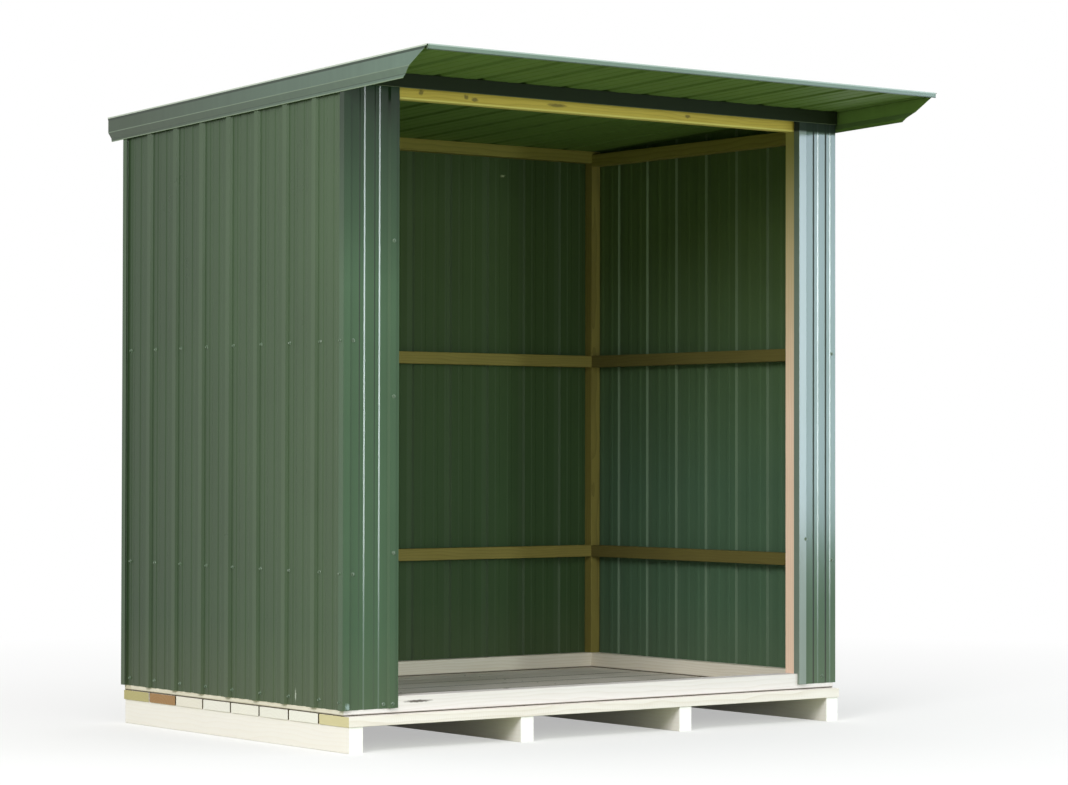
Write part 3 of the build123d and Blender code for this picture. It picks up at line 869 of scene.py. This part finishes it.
# The front edge is painted pale over its face, for the light it reflects, with a brighter highlight
# along its top and painted shade at its foot
FRONT_FOLDS = (
    (-0.001, 0.0045, "#B2C2BC"),
    (0.0045, 0.0165, "#6F8478"),
    (0.0165, 0.021, "#2B3A2C"),
)
dress(
    "roof_front_flashing",
    coated_steel(
        "folded steel front edge",
        (0, -1, 0.3),
        shine=0.4,
        bands=(front_top, ROOF_FALL, FRONT_FOLDS),
    ),
)
dress("roof_rear_flashing", coated_steel("folded steel rear edge", (0, 1, 0.3)))

# Corner tabs
# At each end of the front edge a little folded tab closes the gap to the barge. It is the same
# coated steel, bent back along its outer side.
TAB_LAP = 0.004
TAB_PAST = 0.0042
TAB_INSET = 0.0009
TAB_DEPTH = 0.0091
TAB_FOOT = 0.0005
TAB_HEAD = 0.0015
for side, way in (("left", -1), ("right", 1)):
    inner = front_high.x - TAB_LAP
    outer = front_high.x + TAB_PAST
    face = front_low.y + TAB_INSET
    back = face + STEEL
    deep = front_low.y + TAB_DEPTH
    outline = [
        (inner, face),
        (outer, face),
        (outer, deep),
        (outer - STEEL, deep),
        (outer - STEEL, back),
        (inner, back),
    ]
    foot = front_low.z + TAB_FOOT
    head = front_high.z - TAB_HEAD
    shape = bmesh.new()
    ring_low = [shape.verts.new((way * x, y, foot)) for x, y in outline]
    ring_high = [shape.verts.new((way * x, y, head)) for x, y in outline]
    shape.faces.new(ring_low)
    shape.faces.new(ring_high)
    for i in range(len(outline)):
        j = (i + 1) % len(outline)
        shape.faces.new((ring_low[i], ring_low[j], ring_high[j], ring_high[i]))
    bmesh.ops.recalc_face_normals(shape, faces=shape.faces)
    tab_mesh = bpy.data.meshes.new(f"corner_tab_{side}")
    shape.to_mesh(tab_mesh)
    shape.free()
    tab_mesh.materials.append(nodes["roof_front_flashing"].data.materials[0])
    tab = bpy.data.objects.new(f"corner_tab_{side}", tab_mesh)
    bpy.context.scene.collection.objects.link(tab)
    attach(tab, "root")

# Roofing screws
# Self-drilling screws with a hexagonal head and a bonded washer, painted to match before driving.
# They go through the pans into the rails and plates, and through crests at corners and on the roof.
screws = bpy.data.node_groups.new("roofing screws", "GeometryNodeTree")
screws.interface.new_socket("Geometry", in_out="INPUT", socket_type="NodeSocketGeometry")
SCREW_INPUTS = (
    ("Across Flats", 0.008),
    ("Head Height", 0.0045),
    ("Washer Width", 0.0145),
    ("Washer Height", 0.0016),
)
for label, value in SCREW_INPUTS:
    socket = screws.interface.new_socket(label, in_out="INPUT", socket_type="NodeSocketFloat")
    socket.default_value = value
screws.interface.new_socket("Finish", in_out="INPUT", socket_type="NodeSocketMaterial")
screws.interface.new_socket("Geometry", in_out="OUTPUT", socket_type="NodeSocketGeometry")
given = add_node(screws, "NodeGroupInput").outputs
# A hexagon's corners lie 0.577 of its width across flats from the middle; the top is chamfered
HEX_CORNER = 0.577
HEX_TOP = 0.47
head_radius = add_node(
    screws, "ShaderNodeMath", {0: given["Across Flats"], 1: HEX_CORNER}, operation="MULTIPLY"
).outputs[0]
head_top = add_node(
    screws, "ShaderNodeMath", {0: given["Across Flats"], 1: HEX_TOP}, operation="MULTIPLY"
).outputs[0]
head = add_node(
    screws,
    "GeometryNodeMeshCone",
    {
        "Vertices": 6,
        "Radius Top": head_top,
        "Radius Bottom": head_radius,
        "Depth": given["Head Height"],
    },
).outputs["Mesh"]
washer_radius = add_node(
    screws, "ShaderNodeMath", {0: given["Washer Width"], 1: 0.5}, operation="MULTIPLY"
).outputs[0]
washer_top = add_node(
    screws, "ShaderNodeMath", {0: given["Washer Width"], 1: 0.4}, operation="MULTIPLY"
).outputs[0]
washer = add_node(
    screws,
    "GeometryNodeMeshCone",
    {
        "Vertices": 14,
        "Radius Top": washer_top,
        "Radius Bottom": washer_radius,
        "Depth": given["Washer Height"],
    },
).outputs["Mesh"]
on_washer = add_node(
    screws, "ShaderNodeCombineXYZ", {2: given["Washer Height"]}
).outputs[0]
head = add_node(
    screws, "GeometryNodeTransform", {"Geometry": head, "Translation": on_washer}
).outputs[0]
pair = add_node(screws, "GeometryNodeJoinGeometry")
screws.links.new(head, pair.inputs[0])
screws.links.new(washer, pair.inputs[0])
looks = add_node(
    screws, "GeometryNodeInputNamedAttribute", {"Name": "looks"}, data_type="FLOAT_VECTOR"
).outputs[0]
# Each head stops at a turn of its own when it is driven home
spin = add_node(
    screws, "FunctionNodeRandomValue", {2: 0.0, 3: 6.28, "Seed": 11}, data_type="FLOAT"
).outputs[1]
turned = add_node(screws, "ShaderNodeCombineXYZ", {2: spin}).outputs[0]
spun = add_node(screws, "FunctionNodeEulerToRotation", {0: turned}).outputs[0]
upright = add_node(
    screws, "FunctionNodeAlignRotationToVector", {"Rotation": spun, "Vector": looks}, axis="Z"
).outputs[0]
placed = add_node(
    screws,
    "GeometryNodeInstanceOnPoints",
    {"Points": given["Geometry"], "Instance": pair.outputs[0], "Rotation": upright},
).outputs[0]
real = add_node(screws, "GeometryNodeRealizeInstances", {0: placed}).outputs[0]
finished = add_node(
    screws, "GeometryNodeSetMaterial", {"Geometry": real, "Material": given["Finish"]}
).outputs[0]
add_node(screws, "NodeGroupOutput", {0: finished})


def head_coat(name, colour, rough):
    """The coat of a small steel head, mottled where the driver or the hammer has worn it."""
    material, tree, shader, place = new_finish(name)
    wear_and_sheen = add_node(
        tree, "ShaderNodeTexNoise", {"Vector": place, "Scale": 180.0, "Detail": 2.0}
    ).outputs["Fac"]
    worn = add_node(tree, "ShaderNodeMapRange", {0: wear_and_sheen, 1: 0.55, 2: 0.72}).outputs[0]
    mixed = add_node(
        tree, "ShaderNodeMix", {0: worn, 6: linear(colour), 7: linear("#9AA39B")}, data_type="RGBA"
    ).outputs[2]
    tree.links.new(mixed, shader.inputs["Base Color"])
    shader.inputs["Roughness"].default_value = rough
    return material


screw_paint = head_coat("enamelled screw heads", "#566B55", 0.3)


def screw_down(name, places, sizes=(), finish=screw_paint):
    """One mesh of fasteners at the given places, each a point and the way its head looks."""
    mesh = bpy.data.meshes.new(name)
    mesh.from_pydata([p for p, _ in places], [], [])
    looks = mesh.attributes.new("looks", "FLOAT_VECTOR", "POINT")
    looks.data.foreach_set("vector", [c for _, way in places for c in way])
    piece = bpy.data.objects.new(name, mesh)
    bpy.context.scene.collection.objects.link(piece)
    made = piece.modifiers.new("fasteners", "NODES")
    made.node_group = screws
    wanted = {"Finish": finish, **dict(sizes)}
    for item in screws.interface.items_tree:
        if item.in_out == "INPUT" and item.name in wanted:
            made[item.identifier] = wanted[item.name]
    state = bpy.context.evaluated_depsgraph_get()
    solid = bpy.data.meshes.new_from_object(piece.evaluated_get(state))
    piece.modifiers.clear()
    piece.data = solid
    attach(piece, "root")


front_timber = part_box("post_front_left")[0].y
RIB_PITCH = 0.1875
FOOT_ROW = 0.173
mid_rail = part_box("rail_left_mid")
low_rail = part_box("rail_left_lower")
ROWS = ((mid_rail[0].z + mid_rail[1].z) / 2, (low_rail[0].z + low_rail[1].z) / 2, FOOT_ROW)

# In the side walls a screw stands about 40 mm from each rib, towards the opening, and the last one
# goes through the leg of the corner
SIDE_PLACES = (0.924, 0.742, 0.557, 0.374, 0.192, 0.004, -0.182, -0.376)
CORNER_PLACE = -0.513
side_screws = []
for z in ROWS:
    for y in SIDE_PLACES:
        side_screws.append(((left_timber - PAN, y, z), (-1, 0, 0)))
        side_screws.append(((right_timber + PAN, y, z), (1, 0, 0)))
    side_screws.append(((left_timber - CREST, CORNER_PLACE, z), (-1, 0, 0)))
    side_screws.append(((right_timber + CREST, CORNER_PLACE, z), (1, 0, 0)))
# In the rear wall a screw stands 45 mm from each rib, towards the right-hand wall
PAST_RIB = 0.045
rear_screws = []
for z in ROWS:
    for i in range(-6, 6):
        rear_screws.append(((i * RIB_PITCH + PAST_RIB, rear_timber + PAN, z), (0, 1, 0)))
screw_down("side_wall_screws", side_screws)
screw_down("rear_wall_screws", rear_screws)
front_screws = [
    ((x, front_timber - stand, z), (0, -1, 0))
    for x, stand, z in (
        (-0.931, CREST, 1.759),
        (-0.931, CREST, 1.221),
        (-0.931, CREST, 0.680),
        (-1.095, PAN, 1.410),
        (-1.095, PAN, 0.610),
        (-0.966, PAN, 0.160),
        (-0.933, CREST, 0.160),
        (1.122, PAN, 1.408),
        (1.122, PAN, 0.616),
        (0.981, CREST, 0.698),
        (1.071, PAN, 0.173),
    )
]
screw_down("front_panel_screws", front_screws)

# On the roof, screws go through every second crest over the header and over the rear plate. Their
# height is a sheet's own crest; where it laps its neighbour, the crest stands 0.9 mm higher.
LAP_RISE = 0.0009
HEADER_ROW = 0.05
PLATE_ROW = 0.025
roof_low, roof_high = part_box("roof_sheets")


def roof_top(y):
    """Height of the roof's rib crests at this depth."""
    return roof_high.z - LAP_RISE - ROOF_FALL * (y - roof_low.y)


roof_screws = []
for y in (front_timber + HEADER_ROW, rear_timber - PLATE_ROW):
    for i in range(-6, 7, 2):
        roof_screws.append(((i * RIB_PITCH, y, roof_top(y)), (0, ROOF_FALL, 1)))
screw_down("roof_screws", roof_screws)

# Blind rivets
# Small domed steel rivets, painted like the screws, hold the barges' lips down on the outer ribs.
# They stand in two rows, one along each side of the roof.
RIVET_STEP = 0.48
RIVET_START = 0.09
LIP_STEEL = 0.0008
rivet_places = []
for i in range(5):
    y = roof_low.y + RIVET_START + i * RIVET_STEP
    for x in (-6 * RIB_PITCH, 6 * RIB_PITCH):
        rivet_places.append(((x, y, roof_top(y) + LIP_STEEL), (0, ROOF_FALL, 1)))
screw_down(
    "barge_rivets",
    rivet_places,
    {"Across Flats": 0.0045, "Head Height": 0.0012, "Washer Width": 0.0075, "Washer Height": 0.0009},
)

# Floor nails
# Two round-headed galvanised nails hold each board to each bearer. They are punched flush and have
# gone a dull grey.
NAIL_EDGE = 0.035
NAIL_STAGGER = 0.008
nail_grey = head_coat("dull galvanised nail heads", "#7F8078", 0.55)
floor_nails = []
for b in range(BEARER_COUNT):
    low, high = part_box(f"bearer_{b + 1}")
    x = (low.x + high.x) / 2
    for i in range(BOARD_COUNT):
        front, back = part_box(f"floor_board_{i + 1}")
        for y in (front.y + NAIL_EDGE, back.y - NAIL_EDGE):
            floor_nails.append(((x + NAIL_STAGGER * (-1) ** i, y, back.z), (0, 0, 1)))
screw_down(
    "floor_nails",
    floor_nails,
    {"Across Flats": 0.006, "Head Height": 0.0004, "Washer Width": 0.0075, "Washer Height": 0.0005},
    nail_grey,
)

# The studio's floor and backdrop
# A pale floor that keeps the store's shadow, with a white surround. To all but the rays from the
# camera and in mirrors the floor is a duller grey-green, so that it throws less light upwards.


def seen_straight(tree):
    """1 for the rays that show the studio itself: the camera's, mirrored ones and clear ones."""
    path = add_node(tree, "ShaderNodeLightPath").outputs
    seen = add_node(
        tree,
        "ShaderNodeMath",
        {0: path["Is Camera Ray"], 1: path["Is Glossy Ray"]},
        operation="MAXIMUM",
    ).outputs[0]
    return add_node(
        tree, "ShaderNodeMath", {0: seen, 1: path["Is Transmission Ray"]}, operation="MAXIMUM"
    ).outputs[0]


floor_mesh = bpy.data.meshes.new("studio_floor")
FLOOR_HALF = 60.0
floor_mesh.from_pydata(
    [
        (-FLOOR_HALF, -FLOOR_HALF, 0),
        (FLOOR_HALF, -FLOOR_HALF, 0),
        (FLOOR_HALF, FLOOR_HALF, 0),
        (-FLOOR_HALF, FLOOR_HALF, 0),
    ],
    [],
    [(0, 1, 2, 3)],
)
floor = bpy.data.objects.new("studio_floor", floor_mesh)
bpy.context.scene.collection.objects.link(floor)
floor_paint = bpy.data.materials.new("pale studio floor")
floor_paint.use_nodes = True
tree = floor_paint.node_tree
tree.nodes.clear()
seen = seen_straight(tree)
tone = add_node(
    tree,
    "ShaderNodeMix",
    {0: seen, 6: linear("#A7AE8C"), 7: linear("#F4F4F2")},
    data_type="RGBA",
).outputs[2]
matt = add_node(tree, "ShaderNodeBsdfDiffuse", {"Color": tone}).outputs[0]
glow = add_node(
    tree, "ShaderNodeEmission", {"Color": linear("#FFFFFF"), "Strength": 1.0}
).outputs[0]
# The floor melts into the white surround between 1.5 and 6 m from the store
place = add_node(tree, "ShaderNodeTexCoord").outputs["Object"]
distance = add_node(tree, "ShaderNodeVectorMath", {0: place}, operation="LENGTH").outputs[1]
whiten = add_node(
    tree, "ShaderNodeMapRange", {0: distance, 1: 1.5, 2: 6.0, 3: 0.45, 4: 1.0}
).outputs[0]
lift = add_node(tree, "ShaderNodeMath", {0: seen, 1: whiten}, operation="MULTIPLY").outputs[0]
mixed = add_node(tree, "ShaderNodeMixShader", {0: lift, 1: matt, 2: glow}).outputs[0]
add_node(tree, "ShaderNodeOutputMaterial", {"Surface": mixed})
floor_mesh.materials.append(floor_paint)

world = bpy.data.worlds.new("white surround")
bpy.context.scene.world = world
world.use_nodes = True
tree = world.node_tree
tree.nodes.clear()
seen = seen_straight(tree)
# As a lamp it is a studio's white ceiling, brightest overhead
way = add_node(tree, "ShaderNodeTexCoord").outputs["Generated"]
rise = add_node(tree, "ShaderNodeSeparateXYZ", {0: way}).outputs[2]
overhead = add_node(
    tree, "ShaderNodeMapRange", {0: rise, 1: 0.0, 2: 1.0, 3: 0.6, 4: 0.95}
).outputs[0]
strength = add_node(tree, "ShaderNodeMix", {0: seen, 2: overhead, 3: 1.0}).outputs[0]
sky = add_node(
    tree, "ShaderNodeBackground", {"Color": linear("#FFFFFF"), "Strength": strength}
).outputs[0]
add_node(tree, "ShaderNodeOutputWorld", {"Surface": sky})

# Studio light
# A large soft lamp high at the left, two narrow ones in front that the sheets' grooves catch, and
# a tall cool card at the front right that the right-hand panel mirrors.


def area_lamp(name, at, aim, width, height, watts, tone="#FFFFFF"):
    """A softbox of this size, in metres, turned to look at a point."""
    data = bpy.data.lights.new(name, "AREA")
    data.shape = "RECTANGLE"
    data.size = width
    data.size_y = height
    data.energy = watts
    data.color = linear(tone)[:3]
    lamp = bpy.data.objects.new(name, data)
    lamp.location = at
    lamp.rotation_mode = "QUATERNION"
    lamp.rotation_quaternion = (Vector(aim) - Vector(at)).to_track_quat("-Z", "Y")
    lamp.visible_camera = False
    bpy.context.scene.collection.objects.link(lamp)


area_lamp("key", (-7.6, -4.9, 5.2), (0, 0, 1.0), 3.5, 3.5, 480)
area_lamp("left strip", (-0.9, -9.5, 1.9), (-1.02, -0.5, 1.2), 0.55, 3.4, 105, "#EAF6F4")
area_lamp("right strip", (2.45, -9.5, 1.9), (1.05, -0.5, 1.2), 0.6, 3.4, 150, "#EAF6F4")
area_lamp("card", (5.86, -5.8, 1.9), (1.05, -0.53, 1.25), 1.8, 2.8, 130, "#D6EAFF")

# Camera
# It stands where the photograph was taken from: 12 m off, a metre up, with a long lens.
YAW = math.radians(-37.2017)
PITCH = math.radians(1.0555)
ROLL = math.radians(0.1045)
FOCAL_PIXELS = 3136.4
IMAGE_WIDTH = 1068
SENSOR_WIDTH = 36.0
STAND = (-7.0937, -9.4523, 1.0352)
forward = Vector(
    (-math.sin(YAW) * math.cos(PITCH), math.cos(YAW) * math.cos(PITCH), math.sin(PITCH))
)
level = Vector((math.cos(YAW), math.sin(YAW), 0))
above = level.cross(forward)
right = level * math.cos(ROLL) + above * math.sin(ROLL)
up = -level * math.sin(ROLL) + above * math.cos(ROLL)
lens = bpy.data.cameras.new("camera")
lens.sensor_fit = "HORIZONTAL"
lens.sensor_width = SENSOR_WIDTH
lens.lens = FOCAL_PIXELS / IMAGE_WIDTH * SENSOR_WIDTH
lens.clip_end = 300.0
camera = bpy.data.objects.new("camera", lens)
camera.matrix_world = Matrix(
    (
        (right.x, up.x, -forward.x, STAND[0]),
        (right.y, up.y, -forward.y, STAND[1]),
        (right.z, up.z, -forward.z, STAND[2]),
        (0, 0, 0, 1),
    )
)
bpy.context.scene.collection.objects.link(camera)
bpy.context.scene.camera = camera
bpy.context.scene.view_settings.view_transform = "Standard"
